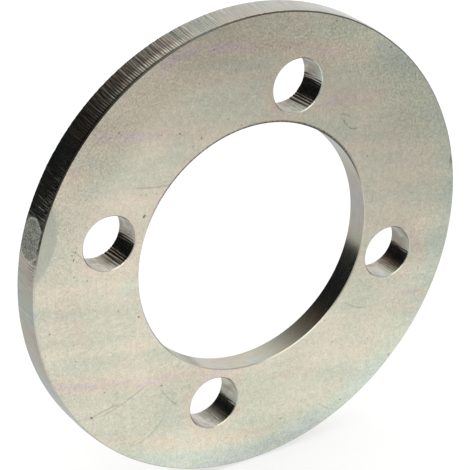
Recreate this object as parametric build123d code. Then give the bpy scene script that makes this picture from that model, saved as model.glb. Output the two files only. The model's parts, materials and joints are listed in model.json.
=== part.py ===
from build123d import *
import os

# Four-bolt plate flange: one flat steel ring, cut from plate and bored through.
# Frame: the bore axis is Y, and the flange stands upright with +Z up.
# The origin is the bore's centre on the rear (mating) face. The front face looks along -Y.

# Driving sizes, in millimetres
outer_diameter = 150.0
plate_thickness = 10.0
bore_diameter = 80.5
bolt_hole_diameter = 17.0
bore_to_hole_wall = 3.0
rear_bore_chamfer = 2.2
front_bore_break = 0.3
bolt_hole_break = 0.25
outer_edge_break = 0.35

# Bolt pattern: how many holes, and the first one's angle in degrees from +X towards +Z
bolt_hole_count = 4
bolt_pattern_turn = -16.5

# The bolt circle leaves a set wall between the bore and each bolt hole
bolt_circle_diameter = bore_diameter + 2 * bore_to_hole_wall + bolt_hole_diameter

# Sketches lie on the rear face, and extrude towards the front face
rear_face_plane = Plane.XZ


def circles_of_diameter(solid, diameter):
    """The solid's circular edges of one diameter, from the front of the plate to the rear."""
    round_edges = solid.edges().filter_by(GeomType.CIRCLE)
    same_size = round_edges.filter_by(lambda edge: abs(2 * edge.radius - diameter) < 0.001)
    return same_size.sort_by(Axis.Y)


def make_plate():
    """The round blank, with both corners of its rim broken."""
    disc = extrude(rear_face_plane * Circle(outer_diameter / 2), plate_thickness)
    return chamfer(circles_of_diameter(disc, outer_diameter), outer_edge_break)


def cut_bore(plate):
    """The through bore, chamfered at the rear to clear the root of the mating hub."""
    bored = plate - extrude(rear_face_plane * Circle(bore_diameter / 2), plate_thickness)
    front_edge = circles_of_diameter(bored, bore_diameter)[0]
    bored = chamfer(front_edge, front_bore_break)
    rear_edge = circles_of_diameter(bored, bore_diameter)[-1]
    return chamfer(rear_edge, rear_bore_chamfer)


def drill_bolt_holes(ring):
    """The clearance holes, evenly spaced round the bolt circle, with both edges broken."""
    places = PolarLocations(
        bolt_circle_diameter / 2, bolt_hole_count, start_angle=bolt_pattern_turn
    )
    hole_outlines = Sketch() + places * Circle(bolt_hole_diameter / 2)
    drilled = ring - extrude(rear_face_plane * hole_outlines, plate_thickness)
    return chamfer(circles_of_diameter(drilled, bolt_hole_diameter), bolt_hole_break)


def make_flange_ring():
    return drill_bolt_holes(cut_bore(make_plate()))


os.makedirs("parts", exist_ok=True)
flange_ring = make_flange_ring()
export_step(flange_ring, "parts/flange_ring.step")
print(f"bolt circle {bolt_circle_diameter:.2f} mm, volume {flange_ring.volume:.0f} mm3")
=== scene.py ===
import json
import math
import random

import bpy
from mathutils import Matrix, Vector


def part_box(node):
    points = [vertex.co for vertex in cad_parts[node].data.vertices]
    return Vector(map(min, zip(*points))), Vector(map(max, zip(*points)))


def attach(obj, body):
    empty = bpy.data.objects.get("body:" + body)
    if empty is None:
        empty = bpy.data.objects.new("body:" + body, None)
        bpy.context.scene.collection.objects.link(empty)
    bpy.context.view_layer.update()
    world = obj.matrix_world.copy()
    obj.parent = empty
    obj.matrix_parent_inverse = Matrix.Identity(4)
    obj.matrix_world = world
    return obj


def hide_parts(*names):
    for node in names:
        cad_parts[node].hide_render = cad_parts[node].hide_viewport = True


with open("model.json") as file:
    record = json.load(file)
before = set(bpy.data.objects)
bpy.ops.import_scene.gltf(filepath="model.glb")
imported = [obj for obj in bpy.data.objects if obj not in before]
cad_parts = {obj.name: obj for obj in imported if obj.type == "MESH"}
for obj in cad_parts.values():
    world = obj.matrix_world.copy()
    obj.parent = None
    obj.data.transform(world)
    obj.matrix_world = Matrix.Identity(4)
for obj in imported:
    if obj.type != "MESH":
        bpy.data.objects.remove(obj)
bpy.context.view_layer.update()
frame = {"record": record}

# One piece: a round flange plate, flame cut round its rim and bolt holes, bored on a lathe and zinc plated.
# The geometry tree builds it lying down, about Z, with its rear face at 0 and its front face on top.
# Its last step stands it up: the axis becomes Y and the front face looks along -Y.

# Sizes of the frame's one piece, in metres
MM = 0.001
record = frame["record"]
mounts = {mount["name"]: mount for mount in record["mounts"]}
lowest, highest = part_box("flange_ring")
outer_radius = (highest.x - lowest.x) / 2
plate_thickness = highest.y - lowest.y
bore_radius = mounts["bore"]["dims"]["r_mm"] * MM
hole_radius = mounts["bolt_holes"]["dims"]["hole_r_mm"] * MM
hole_count = mounts["bolt_holes"]["dims"]["count"]
bolt_circle_radius = mounts["bolt_holes"]["dims"]["pcd_mm"] / 2 * MM

# The first bolt hole's direction, from the opening kept clear for its bolt
first_low, first_high = (Vector(corner) for corner in record["physics"]["openings"][0]["box_m"])
first_hole = (first_low + first_high) / 2
pattern_turn = math.atan2(first_hole.z, first_hole.x)

# The same sizes in millimetres, as the finishes read them
rim_mm = outer_radius / MM
bore_mm = bore_radius / MM
hole_mm = hole_radius / MM
bolt_circle_mm = bolt_circle_radius / MM
thickness_mm = plate_thickness / MM

# Broken and chamfered edges
rim_break = 0.35 * MM
hole_break = 0.25 * MM
bore_front_break = 0.3 * MM
bore_rear_chamfer = 2.2 * MM

# What the cutting torch left: drag lines down the rim and the bolt holes, and a rim drawn in at its front
cut_line_pitch = 0.8 * MM
cut_line_depth = 0.08 * MM
cut_streak_depth = 0.11 * MM
cut_crown = 0.34 * MM
cut_drag = 0.9 * MM
gouge_at_lead_in = 0.22 * MM

# How finely the walls and the marks are meshed, and how close two points are the same
points_per_line = 5
wall_steps = 13
bore_points = 480
mark_points = 14
same_place = 0.002 * MM

# Where the cut ended, its bump was dressed off with a small grinding disc
dressed_turn = math.radians(164.5)
dressed_disc_distance = 90.3 * MM
dressed_disc_radius = 21.2 * MM
dressed_half_length = 6.6
dressed_half_width = 5.6


# ---------------------------------------------------------------- wiring helpers


class Number:
    """A number that flows through a node tree. Arithmetic on it adds Math nodes."""

    def __init__(self, tree, socket):
        self.tree = tree
        self.socket = socket

    def math(self, operation, *others):
        node = self.tree.add("ShaderNodeMath", operation=operation)
        for place, value in enumerate((self, *others)):
            self.tree.feed(node.inputs[place], value)
        return Number(self.tree, node.outputs[0])

    def __add__(self, other):
        return self.math("ADD", other)

    def __sub__(self, other):
        return self.math("SUBTRACT", other)

    def __rsub__(self, other):
        return self.math("MULTIPLY_ADD", -1.0, other)

    def __mul__(self, other):
        return self.math("MULTIPLY", other)

    def __truediv__(self, other):
        return self.math("DIVIDE", other)

    __radd__ = __add__
    __rmul__ = __mul__

    def spread(self, low, high, to_low=0.0, to_high=1.0, kind="SMOOTHSTEP"):
        """This number carried from one range to another, and held at the ends."""
        node = self.tree.add(
            "ShaderNodeMapRange",
            {"Value": self, "From Min": low, "From Max": high, "To Min": to_low, "To Max": to_high},
            interpolation_type=kind,
        )
        return Number(self.tree, node.outputs["Result"])

    def hump(self, middle, width):
        """1 at the middle, falling off softly over the width on either side."""
        away = (self - middle) / width
        return (away * away * -1.0).math("EXPONENT")


class Tree:
    """A node tree being wired up, for a finish, the studio's surroundings or a shape."""

    def __init__(self, node_tree):
        self.node_tree = node_tree

    def add(self, kind, inputs=None, **settings):
        """One node with its settings made, and its inputs wired or set by name or place."""
        node = self.node_tree.nodes.new(kind)
        for name, value in settings.items():
            setattr(node, name, value)
        for name, value in (inputs or {}).items():
            self.feed(node.inputs[name], value)
        return node

    def feed(self, socket, value):
        """Wires a result to a socket, or sets the socket's own value."""
        if isinstance(value, Number):
            value = value.socket
        if isinstance(value, bpy.types.NodeSocket):
            self.node_tree.links.new(value, socket)
        else:
            socket.default_value = value

    def number(self, socket):
        return Number(self, socket)

    def split(self, vector):
        """The three parts of a vector."""
        parts = self.add("ShaderNodeSeparateXYZ", {"Vector": vector}).outputs
        return [self.number(part) for part in parts]

    def join(self, x, y, z):
        """A vector from three parts."""
        return self.add("ShaderNodeCombineXYZ", {"X": x, "Y": y, "Z": z}).outputs["Vector"]

    def noise(self, vector, scale, detail=2.0, roughness=0.5, distortion=0.0):
        """Smooth random variation from 0 to 1, fixed in place."""
        node = self.add(
            "ShaderNodeTexNoise",
            {
                "Vector": vector,
                "Scale": scale,
                "Detail": detail,
                "Roughness": roughness,
                "Distortion": distortion,
            },
        )
        return self.number(node.outputs["Fac"])

    def mix(self, share, first, second):
        """A colour between two, by share."""
        node = self.add("ShaderNodeMix", {"Factor": share}, data_type="RGBA")
        self.feed(node.inputs[6], first)
        self.feed(node.inputs[7], second)
        return node.outputs[2]

    def shade(self, colour, amount):
        """A colour made lighter or darker: amount is a factor."""
        scaled = self.add("ShaderNodeVectorMath", {0: colour, "Scale": amount}, operation="SCALE")
        return scaled.outputs["Vector"]


def chart(red, green, blue):
    """A colour as a colour chart gives it, from 0 to 255, as linear light."""

    def linear(value):
        share = value / 255
        return share / 12.92 if share <= 0.04045 else ((share + 0.055) / 1.055) ** 2.4

    return (linear(red), linear(green), linear(blue), 1.0)


def colour_scale(tree, share, stops):
    """Colours in order along a scale from 0 to 1. A stop is (place, colour)."""
    node = tree.add("ShaderNodeValToRGB", {"Fac": share})
    scale = node.color_ramp
    while len(scale.elements) < len(stops):
        scale.elements.new(0.5)
    for element, (place, colour) in zip(scale.elements, stops):
        element.position = place
        element.color = colour
    return node.outputs["Color"]


# ---------------------------------------------------------------- finishes

# Passivated zinc shows the tints of its thin film: as the film thickens they run in this order
film_tints = [
    (0.00, chart(201, 207, 204)),
    (0.14, chart(204, 211, 198)),
    (0.28, chart(209, 211, 192)),
    (0.42, chart(212, 208, 191)),
    (0.54, chart(215, 206, 187)),
    (0.64, chart(214, 202, 189)),
    (0.74, chart(208, 198, 197)),
    (0.86, chart(198, 196, 206)),
    (1.00, chart(191, 201, 208)),
]


def new_finish(name):
    """A metal finish with its shader ready, and the part's own coordinates in millimetres."""
    material = bpy.data.materials.new(name)
    material.use_nodes = True
    tree = Tree(material.node_tree)
    shader = material.node_tree.nodes["Principled BSDF"]
    shader.inputs["Metallic"].default_value = 1.0
    at = tree.add("ShaderNodeTexCoord").outputs["Object"]
    millimetres = tree.add("ShaderNodeVectorMath", {0: at, "Scale": 1 / MM}, operation="SCALE")
    return material, tree, shader, millimetres.outputs["Vector"]


def about_the_axis(x, z):
    """Distance from the flange's axis and direction round it, seen from the front."""
    radius = (x * x + z * z).math("SQRT")
    turn = z.math("ARCTAN2", x)
    return radius, turn


def from_nearest_hole(radius, turn):
    """Distance from the axis of the nearest bolt hole, in millimetres."""
    spacing = 2 * math.pi / hole_count
    # How far round from the nearest hole, from minus half a spacing to half a spacing
    beside = (turn - pattern_turn + spacing / 2).math("FLOORED_MODULO", spacing) - spacing / 2
    across = radius * beside.math("SINE")
    outward = radius * beside.math("COSINE") - bolt_circle_mm
    return (across * across + outward * outward).math("SQRT")


def away_from(x, z, place_x, place_z):
    """Distance from one place, measured across the plate, in millimetres."""
    across = x - place_x
    up = z - place_z
    return (across * across + up * up).math("SQRT")


def stroke(x, z, start, end, sag, width, fade):
    """How near a point is to a line drawn between two places, which sags below the straight."""
    run = end[0] - start[0]
    along = (x - start[0]) / run
    straight = along * (end[1] - start[1]) + start[1]
    line = straight - along * (1.0 - along) * 4.0 * sag
    near = (z - line).hump(0.0, width)
    begun = along.spread(-fade, fade)
    ended = along.spread(1 - fade, 1 + fade, 1.0, 0.0)
    return near * begun * ended, along


def bump(tree, height, depth, under=None):
    """Relief too fine to model, with its depth in metres, on top of coarser relief if there is any."""
    inputs = {"Height": height, "Distance": depth, "Strength": 1.0}
    if under is not None:
        inputs["Normal"] = under
    return tree.add("ShaderNodeBump", inputs).outputs["Normal"]


# The passivate's film: how thick it mostly is, and the tilt of its streaks from when the part drained
usual_film = 0.41
drain_tilt = math.radians(-11)

# Clear lines that the rinse left on the front as it ran off: start, end, sag, width, fade, film at
# each end, share
rinse_lines = [
    ((-36.0, 68.0), (40.0, 52.0), -5.0, 2.8, 0.12, 0.94, 0.7, 0.6),
    ((-28.0, 61.0), (12.0, 52.0), -0.5, 0.9, 0.15, 0.66, 0.6, 0.6),
    ((-57.0, 50.5), (-4.0, 37.0), -1.0, 2.8, 0.14, 0.94, 0.62, 0.6),
    ((-72.0, -26.5), (-12.0, -40.0), 0.6, 2.3, 0.1, 0.93, 0.76, 0.58),
    ((-56.0, -50.0), (4.0, -66.0), 1.2, 2.2, 0.15, 0.66, 0.7, 0.6),
    ((20.0, 42.5), (44.0, 41.0), 0.2, 1.8, 0.2, 0.84, 0.68, 0.75),
    ((57.5, -9.0), (64.0, -20.0), 0.0, 3.4, 0.25, 0.7, 0.76, 0.75),
    ((51.0, -35.5), (65.0, -41.0), 0.0, 1.6, 0.2, 0.5, 0.54, 0.9),
    ((55.0, -31.5), (66.0, -34.0), 0.0, 1.3, 0.2, 1.0, 0.95, 0.8),
    ((-70.0, -4.0), (-58.0, -8.0), 0.0, 9.0, 0.3, 0.76, 0.72, 0.45),
    ((-62.0, 41.0), (-55.0, 37.5), 0.0, 2.6, 0.3, 0.95, 0.95, 0.5),
    ((4.0, -46.5), (22.0, -49.0), 0.4, 1.5, 0.3, 0.66, 0.6, 0.6),
    ((-47.5, -0.5), (-41.0, -1.5), 0.0, 1.9, 0.3, 0.02, 0.02, 0.6),
]

# Hairline scratches from handling, on the front: start, end, sag, darkness
scratches = [
    ((-52.0, -41.3), (-39.0, -36.0), 0.5, 0.4),
    ((-58.0, -41.5), (-48.5, -39.6), -0.4, 0.4),
    ((-42.0, -55.5), (-32.5, -49.0), 1.0, 0.4),
    ((-34.0, -38.0), (-28.0, -46.0), 0.8, 0.5),
    ((31.0, 35.2), (36.5, 31.2), 1.4, 0.6),
    ((30.5, 37.0), (34.0, 35.0), -0.5, 0.5),
    ((-41.0, 30.2), (-30.0, 28.4), 0.2, 0.4),
    ((-56.0, 44.0), (-50.0, 49.0), -0.6, 0.3),
    ((34.0, -28.5), (41.0, -32.0), 0.6, 0.4),
    ((-62.0, 15.5), (-58.5, 12.0), -0.6, 0.5),
    ((24.0, -62.0), (29.0, -66.0), 0.2, 0.3),
]
scratch_width = 0.24

# Painted light and shade on the faces towards the rim: direction in degrees, change
painted_light_near_rim = [(-16, 0.13), (58, 0.13), (104, -0.14), (136, -0.12), (-106, 0.1)]


def dried_film(tree, at, x, y, z, radius, turn, on_front):
    """How thick the film is from 0 to 1, and the streaks and blotches that it dried in."""
    along = x * math.cos(drain_tilt) + z * math.sin(drain_tilt)
    across = z * math.cos(drain_tilt) - x * math.sin(drain_tilt)
    streaks = tree.noise(tree.join(along * 0.014, y * 0.1, across * 0.11), 1.0, 3.0, 0.5, 0.5)
    blotches = tree.noise(at, 0.05, 3.0, 0.5, 0.4)
    patches = tree.noise(at, 0.13, 2.0, 0.5)
    film = usual_film + (streaks - 0.5) * 0.55 + (blotches - 0.5) * 0.45 + (patches - 0.5) * 0.22

    # It is thinner and colder along the rim at the right, and at the foot
    chill_side = (turn + math.radians(32)).math("COSINE").spread(-0.5, 0.15)
    rim_chill = radius.spread(rim_mm - 12.0, rim_mm - 3.0) * chill_side
    foot_chill = z.spread(-62.0, -34.0, 1.0, 0.0)
    film = film - (rim_chill * 0.2 + foot_chill * 0.1) * blotches.spread(0.3, 0.55, 0.6, 1.0)

    # Drips held at the edges of the bolt holes and the bore left thicker film there
    hole_gap = from_nearest_hole(radius, turn) - hole_mm
    drip_side = tree.noise(at, 0.075, 2.0).spread(0.38, 0.54)
    drip = hole_gap.spread(0.3, 5.5, 1.0, 0.0) * drip_side
    film = film + (0.59 - film) * drip
    held_at_bore = (radius - bore_mm).spread(0.2, 2.6, 1.0, 0.0) * patches.spread(0.45, 0.6)
    film = film + (0.76 - film) * held_at_bore * 0.6

    wavering = z + (blotches - 0.5) * 7.0
    broken_up = patches.spread(0.3, 0.55, 0.55, 1.0)
    for start, end, sag, width, fade, film_first, film_last, share in rinse_lines:
        near, place = stroke(x, wavering, start, end, sag, width, fade)
        line_film = place * (film_last - film_first) + film_first
        film = film + (line_film - film) * near * broken_up * on_front * share
    return film, streaks, blotches


def dirt_specks(tree, at):
    """Small round specks, one in some of the cells that the face is divided into, from 0 to 1."""
    cell = tree.add("ShaderNodeTexVoronoi", {"Vector": at, "Scale": 0.42})
    size = tree.split(cell.outputs["Color"])[0].spread(0.72, 1.0, 0.0, 0.13, "LINEAR")
    speck = (size - tree.number(cell.outputs["Distance"])).spread(-0.02, 0.03)
    return speck * size.spread(0.0, 0.02)


def rolled_face_finish():
    """Satin zinc with a pale yellow passivate, on the plate's rolled faces."""
    material, tree, shader, at = new_finish("passivated_zinc_on_rolled_face")
    x, y, z = tree.split(at)
    radius, turn = about_the_axis(x, z)
    on_front = y.spread(-0.9 * thickness_mm, -0.8 * thickness_mm, 1.0, 0.0)
    film, streaks, blotches = dried_film(tree, at, x, y, z, radius, turn, on_front)
    colour = colour_scale(tree, film, film_tints)

    # Grain: the zinc stands coarser towards the rim, and specks of dirt stay in it
    broad_grain = tree.noise(at, 0.5, 4.0, 0.9)
    grain = tree.noise(at, 1.5, 4.0, 0.72)
    coarse = radius.spread(rim_mm - 22.0, rim_mm - 6.0) * z.spread(-10.0, 40.0, 0.15, 1.0)
    mottle = broad_grain.spread(0.3, 0.7, -1.0, 1.0, "LINEAR") * 0.17
    speckle = grain.spread(0.36, 0.64, -1.0, 1.0, "LINEAR") * (0.12 + coarse * 0.12)
    tone = 1.0 + mottle + speckle + (streaks - 0.5) * 0.34 + (blotches - 0.5) * 0.34
    # Painted light and shade towards the rim, in the directions listed above
    towards_rim = radius.spread(rim_mm - 22.0, rim_mm - 10.0)
    for direction, change in painted_light_near_rim:
        tone = tone * (1.0 + towards_rim * turn.hump(math.radians(direction), 0.3) * change)
    tone = tone * (1.0 - dirt_specks(tree, at) * 0.4)

    # Painted shade: a dark line on the face along the bore's upper edge
    painted_edge_shade = (radius - bore_mm).spread(0.45, 0.95, 1.0, 0.0) * z.spread(14.0, 28.0) * on_front
    tone = tone * (1.0 - painted_edge_shade * grain.spread(0.4, 0.6, 0.35, 0.95))
    for start, end, sag, darkness in scratches:
        near = stroke(x, z, start, end, sag, scratch_width, 0.2)[0]
        tone = tone * (1.0 - near * grain.spread(0.38, 0.56) * on_front * darkness)
    colour = tree.shade(colour, tone)

    # A rust-brown bleed at the rim's right
    bleed_x = 73.6
    bleed_z = 12.0
    to_bleed = (x - bleed_x) * (x - bleed_x) * 0.6 + (z - bleed_z) * (z - bleed_z) * 0.25
    to_bleed = to_bleed.math("SQRT")
    colour = tree.mix(to_bleed.spread(0.3, 1.3, 0.75, 0.0), colour, chart(150, 116, 70))

    # The grey patch where the grinding disc ran out over the face
    disc_x = math.cos(dressed_turn) * dressed_disc_distance / MM
    disc_z = math.sin(dressed_turn) * dressed_disc_distance / MM
    disc_edge = dressed_disc_radius / MM
    to_disc = away_from(x, z, disc_x, disc_z)
    dressed = to_disc.spread(disc_edge - 0.9, disc_edge + 0.2, 1.0, 0.0) * on_front
    ground = tree.shade(chart(184, 189, 178)[:3], 0.8 + grain * 0.34)
    colour = tree.mix(dressed * 0.62, colour, ground)
    tree.feed(shader.inputs["Base Color"], colour)

    roughness = 0.35 + coarse * 0.08 + (grain - 0.5) * 0.2 + (broad_grain - 0.5) * 0.16 + dressed * 0.08
    tree.feed(shader.inputs["Roughness"], roughness)

    ripple = tree.noise(at, 0.09, 2.0)
    relief = bump(tree, ripple, 0.12 * MM)
    relief = bump(tree, broad_grain, 0.04 * MM, relief)
    relief = bump(tree, grain * (0.6 + coarse), 0.022 * MM, relief)
    tree.feed(shader.inputs["Normal"], relief)
    return material


# Soot where the torch dwelt in some bolt holes: place and width in millimetres, darkness
soot_patches = [(41.1, -13.4, 2.4, 0.7), (11.8, 57.6, 0.9, 0.6), (-52.5, 22.7, 0.9, 0.6)]


def cut_edge_finish():
    """Plating over the scale and drag lines that the cutting torch left."""
    material, tree, shader, at = new_finish("passivated_zinc_on_cut_edge")
    x, y, z = tree.split(at)
    radius, turn = about_the_axis(x, z)
    # Streaks run through the plate, so they change little along Y
    drawn = tree.join(x, y * 0.1, z)
    fine_streaks = tree.noise(drawn, 1.5, 3.0, 0.62)
    broad_streaks = tree.noise(drawn, 0.24, 3.0, 0.6)
    groove = tree.number(tree.add("ShaderNodeAttribute", attribute_name="groove").outputs["Fac"])
    tint = tree.noise(at, 0.07, 3.0, 0.6)
    colour = colour_scale(
        tree,
        tint,
        [
            (0.3, chart(172, 184, 182)),
            (0.42, chart(186, 190, 178)),
            (0.52, chart(190, 186, 174)),
            (0.62, chart(190, 180, 168)),
            (0.72, chart(182, 176, 180)),
        ],
    )
    # The drag lines' grooves are darker: dirt in them, and painted shade in their hollows
    tone = 0.72 + fine_streaks * 0.4 + broad_streaks * 0.28 - groove * 0.5
    pimples = tree.noise(at, 1.1, 3.0, 0.6)
    tone = tone + (pimples - 0.5) * 0.22
    to_front = y + thickness_mm

    # The dressed spot is dull and grainy from the grinding disc
    along_rim = (turn - dressed_turn) * rim_mm / dressed_half_length
    through = (y + thickness_mm / 2) / dressed_half_width
    on_rim = radius.spread(rim_mm - 2.0, rim_mm - 1.5)
    spot = (along_rim * along_rim + through * through).math("SQRT") + (pimples - 0.5) * 0.12
    dull = spot.spread(0.94, 1.02, 1.0, 0.0) * on_rim
    border = spot.hump(0.97, 0.07) * on_rim
    grit = tree.noise(at, 1.9, 3.0, 0.7).spread(0.35, 0.65, -1.0, 1.0)
    tone = tone * (1.0 - dull * (0.1 + grit * 0.4)) + border * 0.3
    colour = tree.mix(dull * 0.8, colour, chart(184, 190, 180))

    # Scorching inside the bolt holes, heavier towards the rear
    in_holes = radius.spread(rim_mm - 9.0, rim_mm - 6.0, 1.0, 0.0)
    scorch = tree.noise(tree.join(x, y * 0.45, z), 0.3, 4.0, 0.65, 0.5).spread(0.4, 0.58)
    deep = to_front.spread(0.5, 5.0, 0.35, 1.0)
    tone = tone * (1.0 + in_holes * (0.1 - deep * scorch * 0.26))
    colour = tree.mix(in_holes * deep * scorch * 0.3, colour, chart(150, 134, 112))
    for soot_x, soot_z, width, darkness in soot_patches:
        soot = away_from(x, z, soot_x, soot_z).hump(0.0, width) * to_front.spread(0.8, 4.0, 0.2, 1.0)
        tone = tone * (1.0 - soot * (darkness - 0.3 + scorch * 0.4))

    # The rim is darker round the upper right and the lower left
    rim_darkening = turn.hump(math.radians(66), 0.36) * 0.18 + turn.hump(math.radians(-152), 0.2) * 0.15
    tone = tone * (1.0 - rim_darkening * on_rim)
    # Painted highlight: bright streaks behind the front corner at the upper left
    painted_corner_highlight = to_front.spread(0.7, 1.2) * to_front.spread(2.0, 4.4, 1.0, 0.0) * on_rim
    painted_corner_highlight = painted_corner_highlight * turn.hump(math.radians(119), 0.16)
    tone = tone * (1.0 + painted_corner_highlight * fine_streaks.spread(0.4, 0.6, 0.5, 1.7))

    # Painted shade: a ragged dark line on the front corner over the upper half, heaviest at the upper left,
    # where the broken corner mirrors dark
    heavy = turn.hump(math.radians(134), 0.5)
    ragged = to_front + (fine_streaks - 0.5) * 0.6 - heavy * 0.4
    painted_corner_shade = ragged.spread(0.3, 0.46, 1.0, 0.0) * on_rim * z.spread(4.0, 24.0)
    tone = tone * (1.0 - painted_corner_shade * (0.74 + heavy * 0.2))
    colour = tree.shade(colour, tone)
    tree.feed(shader.inputs["Base Color"], colour)
    # Above the dressed spot the ridges between the drag lines are scuffed dull
    ridges = groove.spread(0.04, 0.3, 1.0, 0.0) * fine_streaks.spread(0.36, 0.6)
    scuffed = ridges * turn.hump(math.radians(156), 0.16) * on_rim
    roughness = 0.09 + fine_streaks * 0.18 + groove * 0.1 + dull * 0.45 + scuffed * 0.3
    tree.feed(shader.inputs["Roughness"], roughness)
    relief = bump(tree, fine_streaks, 0.04 * MM)
    relief = bump(tree, pimples * (1.0 + dull * 3.0), 0.035 * MM, relief)
    tree.feed(shader.inputs["Normal"], relief)
    return material


def turned_bore_finish():
    """Plating over the fine feed lines of the boring tool."""
    material, tree, shader, at = new_finish("passivated_zinc_on_turned_bore")
    x, y, z = tree.split(at)
    feed = tree.join(x * 0.04, y * 5.0, z * 0.04)
    feed_lines = tree.noise(feed, 1.0, 2.0, 0.6)
    tint = tree.noise(at, 0.04, 3.0, 0.6)
    colour = colour_scale(
        tree,
        tint,
        [
            (0.32, chart(178, 186, 186)),
            (0.42, chart(188, 192, 182)),
            (0.5, chart(192, 190, 172)),
            (0.6, chart(190, 183, 171)),
            (0.7, chart(187, 183, 181)),
        ],
    )
    smear = tree.noise(tree.join(x * 0.35, y * 0.6, z * 0.35), 1.0, 3.0, 0.6)
    tone = 0.98 + feed_lines * 0.12 + (smear - 0.5) * 0.3
    # Painted shade on the broken front edge, over the upper half: a dark line where the edge mirrors dark
    to_front = y + thickness_mm
    dirt = to_front.spread(0.32, 0.5, 1.0, 0.0) * z.spread(8.0, 20.0)
    tone = tone * (1.0 - dirt * 0.8)
    colour = tree.shade(colour, tone)
    tree.feed(shader.inputs["Base Color"], colour)
    tree.feed(shader.inputs["Roughness"], 0.13 + feed_lines * 0.1 + smear * 0.06)
    tree.feed(shader.inputs["Normal"], bump(tree, feed_lines, 0.004 * MM))
    return material


def pit_finish():
    """The floor of a pit or nick, where the plating is thin and dirt stays."""
    material, tree, shader, at = new_finish("dull_zinc_in_pits")
    mottle = tree.noise(at, 2.0, 2.0)
    colour = colour_scale(tree, mottle, [(0.3, chart(140, 137, 126)), (0.7, chart(180, 176, 163))])
    tree.feed(shader.inputs["Base Color"], colour)
    tree.feed(shader.inputs["Roughness"], 0.5 + mottle * 0.2)
    return material


# ---------------------------------------------------------------- the shape


def new_shape_tree(name, inputs):
    """A geometry tree with named inputs. Returns it and its inputs by name."""
    node_tree = bpy.data.node_groups.new(name, "GeometryNodeTree")
    node_tree.interface.new_socket(name="Geometry", in_out="OUTPUT", socket_type="NodeSocketGeometry")
    for input_name, kind in inputs:
        node_tree.interface.new_socket(
            name=input_name, in_out="INPUT", socket_type="NodeSocket" + kind
        )
    tree = Tree(node_tree)
    sockets = tree.add("NodeGroupInput").outputs
    given = {}
    for input_name, kind in inputs:
        socket = sockets[input_name]
        given[input_name] = tree.number(socket) if kind in ("Float", "Int") else socket
    return tree, given


def finish_shape_tree(tree, geometry):
    """Wires the geometry to the tree's output, and returns the tree for use."""
    tree.add("NodeGroupOutput", {"Geometry": geometry})
    return tree.node_tree


def less_than(tree, first, second):
    """True where the first number is less than the second."""
    compare = tree.add("FunctionNodeCompare", operation="LESS_THAN", data_type="FLOAT")
    tree.feed(compare.inputs[0], first)
    tree.feed(compare.inputs[1], second)
    return compare.outputs[0]


def stored(tree, geometry, name, value):
    """The geometry with a number kept on each of its points, by name."""
    node = tree.add(
        "GeometryNodeStoreNamedAttribute",
        {"Geometry": geometry, "Name": name, "Value": value},
        data_type="FLOAT",
        domain="POINT",
    )
    return node.outputs["Geometry"]


def read(tree, name):
    """A number that each point keeps, by name."""
    node = tree.add("GeometryNodeInputNamedAttribute", {"Name": name}, data_type="FLOAT")
    return tree.number(node.outputs["Attribute"])


def round_wall_tree():
    """A round wall about Z with both corners broken. Facing is 1 for a rim and -1 for a hole.

    Each point keeps its direction round the wall as "turn", and as "below_front" how far down
    from the front face it is, from 0 to 1.
    """
    tree, given = new_shape_tree(
        "round wall",
        [
            ("Radius", "Float"),
            ("Thickness", "Float"),
            ("Front Break", "Float"),
            ("Rear Break", "Float"),
            ("Facing", "Float"),
            ("Points Round", "Int"),
            ("Steps Through", "Int"),
        ],
    )
    thickness = given["Thickness"]
    front_break = given["Front Break"]
    rear_break = given["Rear Break"]
    steps = given["Steps Through"]
    tube = tree.add(
        "GeometryNodeMeshCylinder",
        {"Vertices": given["Points Round"], "Side Segments": steps, "Radius": 1.0, "Depth": 1.0},
        fill_type="NONE",
    ).outputs["Mesh"]
    x, y, z = tree.split(tree.add("GeometryNodeInputPosition").outputs[0])
    step = (z + 0.5) * steps
    at_rear = step.spread(0.4, 0.6, 1.0, 0.0, "LINEAR")
    at_front = (steps - step).spread(0.4, 0.6, 1.0, 0.0, "LINEAR")
    between = (step - 1.0) / (steps - 2.0)
    between = between.math("MAXIMUM", 0.0).math("MINIMUM", 1.0)
    straight = thickness - front_break - rear_break
    height = rear_break + between * straight - at_rear * rear_break + at_front * front_break
    inset = (at_rear * rear_break + at_front * front_break) * given["Facing"]
    radius = given["Radius"] - inset
    turn = y.math("ARCTAN2", x)
    wall = stored(tree, tube, "turn", turn)
    wall = stored(tree, wall, "below_front", 1.0 - height / thickness)
    wall = tree.add(
        "GeometryNodeSetPosition",
        {"Geometry": wall, "Position": tree.join(x * radius, y * radius, height)},
    ).outputs["Geometry"]
    inward = less_than(tree, given["Facing"], 0.0)
    wall = tree.add("GeometryNodeFlipFaces", {"Mesh": wall, "Selection": inward}).outputs["Mesh"]
    return finish_shape_tree(tree, wall)


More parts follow.
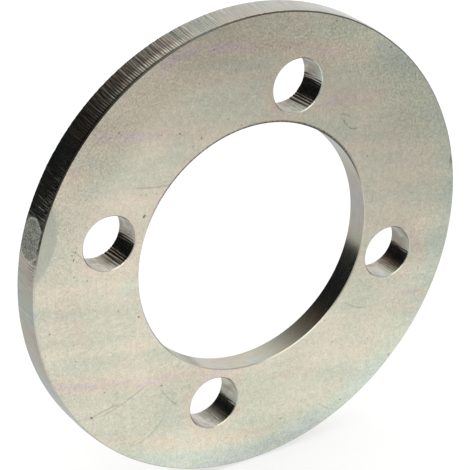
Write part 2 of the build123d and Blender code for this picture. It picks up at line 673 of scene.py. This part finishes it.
def cut_lines_tree():
    """Presses the torch's drag lines into a wall. They lag more the deeper they run."""
    tree, given = new_shape_tree(
        "cut lines",
        [
            ("Wall", "Geometry"),
            ("Radius", "Float"),
            ("Facing", "Float"),
            ("Line Count", "Float"),
            ("Line Depth", "Float"),
            ("Streak Depth", "Float"),
            ("Drag", "Float"),
            ("Keep", "Float"),
            ("Crown", "Float"),
            ("Gouge Depth", "Float"),
        ],
    )
    turn = read(tree, "turn")
    below = read(tree, "below_front")
    x, y, z = tree.split(tree.add("GeometryNodeInputPosition").outputs[0])
    radius_mm = given["Radius"] / MM

    lag = below * below * given["Drag"] / given["Radius"]
    lagged = turn + lag
    sideways = lagged.math("COSINE") * radius_mm
    upward = lagged.math("SINE") * radius_mm
    # The place on the wall, drawn out through the plate, and set apart for each hole
    centre_x = x / MM - turn.math("COSINE") * radius_mm
    centre_y = y / MM - turn.math("SINE") * radius_mm
    drawn = tree.join(sideways + centre_x, upward + centre_y, z * (0.1 / MM))

    wander = tree.noise(drawn, 0.35, 2.0)
    line = ((lagged * given["Line Count"] + wander * 9.0).math("COSINE") + 1.0) * 0.5
    weight = tree.noise(drawn, 0.5, 2.0).spread(0.3, 0.7, 0.35, 1.0, "LINEAR")
    near_front = below.spread(0.03, 0.14) * below.spread(0.3, 0.6, 1.0, 0.5)
    lines = line * weight * near_front * given["Line Depth"]

    streak = tree.noise(drawn, 0.85, 2.0, 0.6).spread(0.3, 0.75, 0.0, 1.0, "LINEAR")
    deep = below.spread(0.15, 0.6, 0.15, 1.0)
    streaks = streak * deep * given["Streak Depth"]

    # The lead-in left a few deep gouges down some holes, slanting a little
    lead_in_turn = math.radians(-57)
    slanted = turn + 0.05 * below
    gouge = 0.0
    for beside, width in ((0.0, 0.03), (0.11, 0.022), (-0.15, 0.03), (0.2, 0.018)):
        gouge = gouge + slanted.hump(lead_in_turn + beside, width)
    gouges = gouge * given["Gouge Depth"] * below.spread(0.0, 0.5, 0.35, 1.0)

    # The wall waves a little, and is drawn in towards its front
    wave = tree.noise(drawn, 0.12, 1.0) * given["Streak Depth"]
    near_top = below.spread(0.0, 0.4, 1.0, 0.0, "LINEAR")
    crown = near_top * near_top * given["Crown"]
    dips = (lines + streaks) * given["Keep"] + gouges
    into_metal = (dips + wave + crown) * given["Facing"] * -1.0
    outward = tree.join(turn.math("COSINE") * into_metal, turn.math("SINE") * into_metal, 0.0)
    wall = stored(tree, given["Wall"], "groove", dips / (given["Line Depth"] + given["Streak Depth"]))
    cut = tree.add("GeometryNodeSetPosition", {"Geometry": wall, "Offset": outward})
    return finish_shape_tree(tree, cut.outputs["Geometry"])


def bowl_tree():
    """Shallow bowls on the marked points of a face. Each point keeps its bowl's size and depth."""
    tree, given = new_shape_tree(
        "pits and nicks",
        [("Marks", "Geometry"), ("Height", "Float"), ("Face Up", "Bool"), ("Points Round", "Int")],
    )
    bowl = tree.add(
        "GeometryNodeMeshCone",
        {
            "Vertices": given["Points Round"],
            "Side Segments": 4,
            "Radius Top": 1.0,
            "Radius Bottom": 0.0,
            "Depth": 1.0,
        },
        fill_type="NONE",
    ).outputs["Mesh"]
    x, y, z = tree.split(tree.add("GeometryNodeInputPosition").outputs[0])
    out = (x * x + y * y).math("SQRT")
    sunk = (1.0 - out * out) * -1.0
    bowl = tree.add(
        "GeometryNodeSetPosition", {"Geometry": bowl, "Position": tree.join(x, y, sunk)}
    ).outputs["Geometry"]
    bowl = tree.add("GeometryNodeFlipFaces", {"Mesh": bowl}).outputs["Mesh"]

    size = read(tree, "size")
    wanted = tree.add("FunctionNodeCompare", operation="EQUAL", data_type="FLOAT")
    tree.feed(wanted.inputs[0], read(tree, "on_front"))
    tree.feed(wanted.inputs[1], given["Face Up"])
    # Bowls in a rear face are turned over
    tip = tree.add("GeometryNodeSwitch", {"Switch": given["Face Up"]}, input_type="FLOAT")
    tree.feed(tip.inputs["False"], math.pi)
    tree.feed(tip.inputs["True"], 0.0)
    placed = tree.add(
        "GeometryNodeInstanceOnPoints",
        {
            "Points": given["Marks"],
            "Selection": wanted.outputs[0],
            "Instance": bowl,
            "Rotation": tree.join(tip.outputs["Output"], 0.0, read(tree, "lie")),
            "Scale": tree.join(size * read(tree, "stretch"), size, read(tree, "sink")),
        },
    ).outputs["Instances"]
    placed = tree.add("GeometryNodeRealizeInstances", {"Geometry": placed}).outputs["Geometry"]
    x, y, z = tree.split(tree.add("GeometryNodeInputPosition").outputs[0])
    placed = tree.add(
        "GeometryNodeSetPosition",
        {"Geometry": placed, "Position": tree.join(x, y, z + given["Height"])},
    ).outputs["Geometry"]
    return finish_shape_tree(tree, placed)


def flat_face_tree():
    """The flat skin between every open edge of the walls and bowls at one height."""
    tree, given = new_shape_tree(
        "flat face", [("Walls", "Geometry"), ("Height", "Float"), ("Face Up", "Bool")]
    )
    z = tree.split(tree.add("GeometryNodeInputPosition").outputs[0])[2]
    off_plane = (z - given["Height"]).math("ABSOLUTE")
    on_plane = less_than(tree, off_plane, same_place / 2)
    loops = tree.add("GeometryNodeMeshToCurve", {"Mesh": given["Walls"], "Selection": on_plane})
    skin = tree.add("GeometryNodeFillCurve", {"Curve": loops.outputs["Curve"]}, mode="TRIANGLES")
    lifted = tree.add(
        "GeometryNodeTransform",
        {"Geometry": skin.outputs["Mesh"], "Translation": tree.join(0.0, 0.0, given["Height"])},
    ).outputs["Geometry"]
    rear = tree.add("FunctionNodeBooleanMath", {0: given["Face Up"]}, operation="NOT").outputs[0]
    facing = tree.add("GeometryNodeFlipFaces", {"Mesh": lifted, "Selection": rear}).outputs["Mesh"]
    return finish_shape_tree(tree, facing)


def smooth(tree, geometry, wanted, domain="FACE", selection=True):
    """The geometry with its faces, or some of its edges, shaded smooth or flat."""
    node = tree.add(
        "GeometryNodeSetShadeSmooth",
        {"Geometry": geometry, "Selection": selection, "Shade Smooth": wanted},
        domain=domain,
    )
    return node.outputs["Geometry"]


def with_finish(tree, geometry, material):
    """The geometry in one finish."""
    node = tree.add("GeometryNodeSetMaterial", {"Geometry": geometry, "Material": material})
    return node.outputs["Geometry"]


def joined(tree, *geometries):
    node = tree.add("GeometryNodeJoinGeometry")
    for geometry in geometries:
        tree.node_tree.links.new(geometry, node.inputs["Geometry"])
    return node.outputs["Geometry"]


def use(tree, node_tree, inputs):
    """One use of a smaller tree inside a larger one."""
    node = tree.add("GeometryNodeGroup", node_tree=node_tree)
    for name, value in inputs.items():
        tree.feed(node.inputs[name], value)
    return node.outputs["Geometry"]


def flange_ring_tree(face, edge, bore, pit):
    """The whole flange ring, from its driving sizes and the points where it is marked."""
    tree, given = new_shape_tree(
        "flange ring",
        [
            ("Marks", "Geometry"),
            ("Outer Radius", "Float"),
            ("Thickness", "Float"),
            ("Bore Radius", "Float"),
            ("Hole Radius", "Float"),
            ("Bolt Circle Radius", "Float"),
            ("Hole Count", "Int"),
            ("Pattern Turn", "Float"),
            ("Cut Line Pitch", "Float"),
            ("Cut Line Depth", "Float"),
            ("Cut Streak Depth", "Float"),
            ("Cut Drag", "Float"),
            ("Dressed Turn", "Float"),
        ],
    )
    round_wall = round_wall_tree()
    cut_lines = cut_lines_tree()
    bowls = bowl_tree()
    flat_face = flat_face_tree()
    thickness = given["Thickness"]

    def line_count(radius):
        return (radius * (2 * math.pi) / given["Cut Line Pitch"]).math("ROUND")

    def cut_wall(radius, edge_break, facing):
        lines = line_count(radius)
        return use(
            tree,
            round_wall,
            {
                "Radius": radius,
                "Thickness": thickness,
                "Front Break": edge_break,
                "Rear Break": edge_break,
                "Facing": facing,
                "Points Round": lines * points_per_line,
                "Steps Through": wall_steps,
            },
        )

    def with_lines(wall, radius, facing, keep, crown, gouge_depth):
        return use(
            tree,
            cut_lines,
            {
                "Wall": wall,
                "Radius": radius,
                "Facing": facing,
                "Line Count": line_count(radius),
                "Line Depth": given["Cut Line Depth"],
                "Streak Depth": given["Cut Streak Depth"],
                "Drag": given["Cut Drag"],
                "Keep": keep,
                "Crown": crown,
                "Gouge Depth": gouge_depth,
            },
        )

    # The rim, whose lines are ground away where it was dressed
    rim = cut_wall(given["Outer Radius"], rim_break, 1.0)
    turned_away = (read(tree, "turn") - given["Dressed Turn"]) * (given["Outer Radius"] / MM)
    dressed = turned_away.math("ABSOLUTE").spread(6.0, 7.5)
    roughly_cut = read(tree, "turn").hump(math.radians(125), math.radians(42))
    keep = (0.45 + roughly_cut * 0.85) * dressed
    rim = with_lines(rim, given["Outer Radius"], 1.0, keep, cut_crown, 0.0)
    rim = with_finish(tree, rim, edge)

    # The bolt holes, all cut in the same direction of travel
    hole = cut_wall(given["Hole Radius"], hole_break, -1.0)
    circle = tree.add(
        "GeometryNodeMeshCircle",
        {"Vertices": given["Hole Count"], "Radius": given["Bolt Circle Radius"]},
    )
    circle = tree.add(
        "GeometryNodeTransform",
        {"Geometry": circle.outputs["Mesh"], "Rotation": tree.join(0.0, 0.0, given["Pattern Turn"])},
    ).outputs["Geometry"]
    index = tree.add("GeometryNodeInputIndex").outputs["Index"]
    circle = stored(tree, circle, "hole_number", index)
    holes = tree.add("GeometryNodeInstanceOnPoints", {"Points": circle, "Instance": hole})
    holes = tree.add("GeometryNodeRealizeInstances", {"Geometry": holes.outputs["Instances"]})
    hole_number = read(tree, "hole_number")
    roughly_cut = hole_number.hump(1.5, 0.8)
    gouge_depth = roughly_cut * gouge_at_lead_in
    keep = roughly_cut + 0.35
    holes = with_lines(holes.outputs["Geometry"], given["Hole Radius"], -1.0, keep, 0.0, gouge_depth)
    holes = with_finish(tree, holes, edge)

    # The bore, turned smooth
    bore_wall = use(
        tree,
        round_wall,
        {
            "Radius": given["Bore Radius"],
            "Thickness": thickness,
            "Front Break": bore_front_break,
            "Rear Break": bore_rear_chamfer,
            "Facing": -1.0,
            "Points Round": bore_points,
            "Steps Through": wall_steps,
        },
    )
    bore_wall = with_finish(tree, bore_wall, bore)

    # Pits and nicks on both faces
    front_pits = use(
        tree,
        bowls,
        {"Marks": given["Marks"], "Height": thickness, "Face Up": True, "Points Round": mark_points},
    )
    rear_pits = use(
        tree,
        bowls,
        {"Marks": given["Marks"], "Height": 0.0, "Face Up": False, "Points Round": mark_points},
    )
    pits = with_finish(tree, joined(tree, front_pits, rear_pits), pit)

    walls = smooth(tree, joined(tree, rim, holes, bore_wall, pits), True)
    front = use(tree, flat_face, {"Walls": walls, "Height": thickness, "Face Up": True})
    rear = use(tree, flat_face, {"Walls": walls, "Height": 0.0, "Face Up": False})
    faces = with_finish(tree, smooth(tree, joined(tree, front, rear), False), face)

    shell = tree.add(
        "GeometryNodeMergeByDistance",
        {"Geometry": joined(tree, walls, faces), "Distance": same_place},
    ).outputs["Geometry"]
    angle = tree.number(tree.add("GeometryNodeInputMeshEdgeAngle").outputs["Unsigned Angle"])
    sharpest_smooth = math.radians(32)
    corner = less_than(tree, sharpest_smooth, angle)
    shell = smooth(tree, shell, False, "EDGE", corner)
    stood_up = tree.add(
        "GeometryNodeTransform", {"Geometry": shell, "Rotation": (math.radians(90), 0.0, 0.0)}
    ).outputs["Geometry"]
    plain = tree.add("GeometryNodeRealizeInstances", {"Geometry": stood_up}).outputs["Geometry"]
    return finish_shape_tree(tree, plain)


# ---------------------------------------------------------------- marks


def face_marks():
    """Where the faces are pitted and nicked: (x, y, size, stretch, lie, sink, on_front), in metres."""
    rng = random.Random(41)
    marks = []
    from_bore = 0.5 * MM
    from_rim = 1.0 * MM
    from_hole = 0.8 * MM

    def is_clear(x, y, reach, on_front):
        """True where a mark of that reach lies on the flat, clear of every edge."""
        radius = math.hypot(x, y)
        bore_break = bore_front_break if on_front else bore_rear_chamfer
        if not bore_radius + bore_break + from_bore + reach < radius < outer_radius - from_rim - reach:
            return False
        for number in range(hole_count):
            turn = pattern_turn + 2 * math.pi * number / hole_count
            hole_x = bolt_circle_radius * math.cos(turn)
            hole_y = bolt_circle_radius * math.sin(turn)
            if math.hypot(x - hole_x, y - hole_y) < hole_radius + from_hole + reach:
                return False
        return True

    def add(x, y, size, stretch, lie, sink, on_front):
        reach = size * stretch
        if not is_clear(x, y, reach, on_front):
            return
        for other in marks:
            gap = math.hypot(x - other[0], y - other[1])
            if other[6] == on_front and gap < (reach + other[2] * other[3]) * 1.1:
                return
        marks.append((x, y, size, stretch, lie, sink, on_front))

    # The larger ones, on the front: place and half width in millimetres, stretch, lie in degrees
    chosen = [
        (-60.2, 16.2, 0.2, 1.3, 30),
        (-60.6, 14.9, 0.22, 1.2, 0),
        (-61.8, 14.2, 0.2, 1.4, 80),
        (-61.3, 12.6, 0.28, 1.6, 60),
        (-60.4, 11.8, 0.18, 1.2, 0),
        (-70.0, -9.0, 0.26, 1.2, 0),
        (-25.7, 43.7, 0.3, 1.2, 20),
        (-18.5, 40.7, 0.3, 1.4, 70),
        (-38.0, 20.5, 0.42, 1.6, 50),
        (-40.6, -11.8, 0.3, 1.3, 0),
        (-33.3, -37.6, 0.3, 1.3, -30),
        (31.6, 34.6, 0.24, 1.4, 10),
        (-57.4, -41.2, 0.34, 1.7, -35),
        (28.0, 67.4, 0.3, 1.6, -25),
        (-45.5, 48.5, 0.24, 2.2, 40),
    ]
    for x, z, size, stretch, lie in chosen:
        half = size * MM
        add(x * MM, z * MM, half, stretch, math.radians(lie), half * 0.4, 1.0)

    # Small ones anywhere, on the front and on the rear
    for on_front, count in ((1.0, 70), (0.0, 90)):
        for _ in range(count):
            radius = rng.uniform(bore_radius, outer_radius)
            turn = rng.uniform(-math.pi, math.pi)
            size = rng.uniform(0.08, 0.2) * MM
            stretch = rng.choice((1.0, 1.2, 1.5, 2.5))
            lie = rng.uniform(0, math.pi)
            add(radius * math.cos(turn), radius * math.sin(turn), size, stretch, lie, size * 0.4, on_front)
    return marks


def mark_points_mesh():
    """The marks as points, each with its sizes, for the geometry tree to work from."""
    marks = face_marks()
    mesh = bpy.data.meshes.new("flange_ring_marks")
    mesh.from_pydata([(mark[0], mark[1], 0.0) for mark in marks], [], [])
    for place, name in enumerate(("size", "stretch", "lie", "sink", "on_front"), start=2):
        attribute = mesh.attributes.new(name, "FLOAT", "POINT")
        attribute.data.foreach_set("value", [mark[place] for mark in marks])
    return mesh


# ---------------------------------------------------------------- the piece


def make_flange_ring():
    """The plated flange ring, as a plain mesh that stands for the frame's node."""
    shape = flange_ring_tree(
        rolled_face_finish(), cut_edge_finish(), turned_bore_finish(), pit_finish()
    )
    sizes = {
        "Outer Radius": outer_radius,
        "Thickness": plate_thickness,
        "Bore Radius": bore_radius,
        "Hole Radius": hole_radius,
        "Bolt Circle Radius": bolt_circle_radius,
        "Hole Count": hole_count,
        "Pattern Turn": pattern_turn,
        "Cut Line Pitch": cut_line_pitch,
        "Cut Line Depth": cut_line_depth,
        "Cut Streak Depth": cut_streak_depth,
        "Cut Drag": cut_drag,
        "Dressed Turn": dressed_turn,
    }
    piece = bpy.data.objects.new("flange_ring_plated", mark_points_mesh())
    bpy.context.scene.collection.objects.link(piece)
    modifier = piece.modifiers.new("flange ring", "NODES")
    modifier.node_group = shape
    for item in shape.interface.items_tree:
        if item.item_type == "SOCKET" and item.in_out == "INPUT" and item.name in sizes:
            modifier[item.identifier] = sizes[item.name]
    bpy.context.view_layer.update()
    evaluated = piece.evaluated_get(bpy.context.evaluated_depsgraph_get())
    mesh = bpy.data.meshes.new_from_object(evaluated)
    piece.modifiers.remove(modifier)
    piece.data = mesh
    # The points that the tree started from leave an empty slot
    for slot in reversed(range(len(mesh.materials))):
        if mesh.materials[slot] is None:
            mesh.materials.pop(index=slot)
    mesh.name = "flange_ring_plated"
    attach(piece, "root")
    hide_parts("flange_ring")


# ---------------------------------------------------------------- floor, light and camera


def make_floor():
    """A plain white table top. Mirrored in the metal, it ends a little way off, where the room begins."""
    half = 4.0
    table_paint = 0.46
    table_glow = 0.57
    mesh = bpy.data.meshes.new("floor")
    corners = [(-half, -half), (half, -half), (half, half), (-half, half)]
    mesh.from_pydata([(x, y, lowest.z) for x, y in corners], [], [(0, 1, 2, 3)])
    floor = bpy.data.objects.new("floor", mesh)
    bpy.context.scene.collection.objects.link(floor)

    material = bpy.data.materials.new("white_table")
    material.use_nodes = True
    tree = Tree(material.node_tree)
    material.node_tree.nodes.clear()
    at = tree.add("ShaderNodeTexCoord").outputs["Object"]
    x, y, _ = tree.split(at)
    distance = (x * x + y * y).math("SQRT")
    mirrored = tree.number(tree.add("ShaderNodeLightPath").outputs["Is Glossy Ray"])
    gone = mirrored * distance.spread(0.34, 0.55)
    # The metal mirrors the table dimmer behind the flange, and to the right where the lamp reaches less
    behind = y.spread(-0.03, 0.06, 0.0, 0.36)
    to_right = x.spread(0.08, 0.148, 0.0, 0.4)
    shaded = 1.0 - mirrored * (behind + to_right - behind * to_right)
    paint = shaded * table_paint
    white = tree.add("ShaderNodeBsdfDiffuse", {"Color": tree.join(paint, paint, paint)})
    glow = tree.add("ShaderNodeEmission", {"Strength": shaded * table_glow})
    lit = tree.add("ShaderNodeAddShader", {0: white.outputs[0], 1: glow.outputs[0]})
    see_through = tree.add("ShaderNodeBsdfTransparent")
    table = tree.add("ShaderNodeMixShader", {0: gone, 1: lit.outputs[0], 2: see_through.outputs[0]})
    tree.add("ShaderNodeOutputMaterial", {"Surface": table.outputs[0]})
    mesh.materials.append(material)


def direction_of(turn, rise):
    """A direction from degrees: turn from +Y towards +X, and rise above the floor."""
    turn, rise = math.radians(turn), math.radians(rise)
    level = math.cos(rise)
    return Vector((math.sin(turn) * level, math.cos(turn) * level, math.sin(rise)))


def make_studio():
    """A plain pale surround, whose reflection in the metal has a dark curtain and a bright box overhead."""
    world = bpy.data.worlds.new("studio")
    world.use_nodes = True
    bpy.context.scene.world = world
    tree = Tree(world.node_tree)
    world.node_tree.nodes.clear()
    towards = tree.add("ShaderNodeTexCoord").outputs["Generated"]

    def alignment(direction):
        dot = tree.add("ShaderNodeVectorMath", {0: towards, 1: direction}, operation="DOT_PRODUCT")
        return tree.number(dot.outputs["Value"])

    def within(direction, inner, outer):
        """1 inside a cone of inner degrees round a direction, fading to 0 at outer degrees."""
        edges = math.cos(math.radians(outer)), math.cos(math.radians(inner))
        return alignment(direction).spread(*edges)

    curtain = within(direction_of(-44, 10), 20, 74)
    front_room = within(direction_of(170, -5), 20, 80)
    light = (1.0 - curtain) * (1.0 - front_room * 0.75)
    room = colour_scale(
        tree,
        light,
        [
            (0.0, (0.003, 0.004, 0.005, 1.0)),
            (0.02, (0.03, 0.022, 0.016, 1.0)),
            (0.09, (0.09, 0.068, 0.055, 1.0)),
            (0.31, (0.23, 0.212, 0.19, 1.0)),
            (0.65, (0.6, 0.58, 0.55, 1.0)),
            (1.0, (1.0, 1.0, 1.0, 1.0)),
        ],
    )
    softbox = within(direction_of(-172, 50), 12, 34)
    overhead = softbox * 1.2
    overhead = tree.join(overhead, overhead, overhead)
    mirrored = tree.add("ShaderNodeVectorMath", {0: room, 1: overhead}, operation="ADD")
    # Only the metal sees the dark parts of the room: the table and the backdrop stay evenly white
    is_glossy = tree.add("ShaderNodeLightPath").outputs["Is Glossy Ray"]
    around = tree.mix(is_glossy, (1.0, 1.0, 1.0, 1.0), mirrored.outputs["Vector"])
    surround = tree.add("ShaderNodeBackground", {"Color": around})
    tree.add("ShaderNodeOutputWorld", {"Surface": surround.outputs[0]})

    lamp = bpy.data.lights.new("ceiling_light", "SUN")
    lamp.energy = 0.4
    lamp.angle = math.radians(150)
    ceiling = bpy.data.objects.new("ceiling_light", lamp)
    ceiling.rotation_euler = (math.radians(-20), math.radians(15), 0.0)
    ceiling.visible_glossy = False
    bpy.context.scene.collection.objects.link(ceiling)


def make_camera():
    """A long lens that looks down on the front face from its left."""
    camera_turn = 31.85
    camera_drop = -26.59
    camera_distance = 0.6250
    focal_length = 160.35
    # It aims at the front face, a little to the left of the axis and above it
    aim_left = 0.00718
    aim_above = 0.00637
    aim = Vector((-aim_left, lowest.y, aim_above))
    forward = direction_of(camera_turn, camera_drop)
    lens = bpy.data.cameras.new("camera")
    lens.lens = focal_length
    camera = bpy.data.objects.new("camera", lens)
    camera.location = aim - forward * camera_distance
    camera.rotation_euler = forward.to_track_quat("-Z", "Y").to_euler()
    bpy.context.scene.collection.objects.link(camera)
    bpy.context.scene.camera = camera


make_flange_ring()
make_floor()
make_studio()
make_camera()
bpy.context.scene.view_settings.view_transform = "Standard"
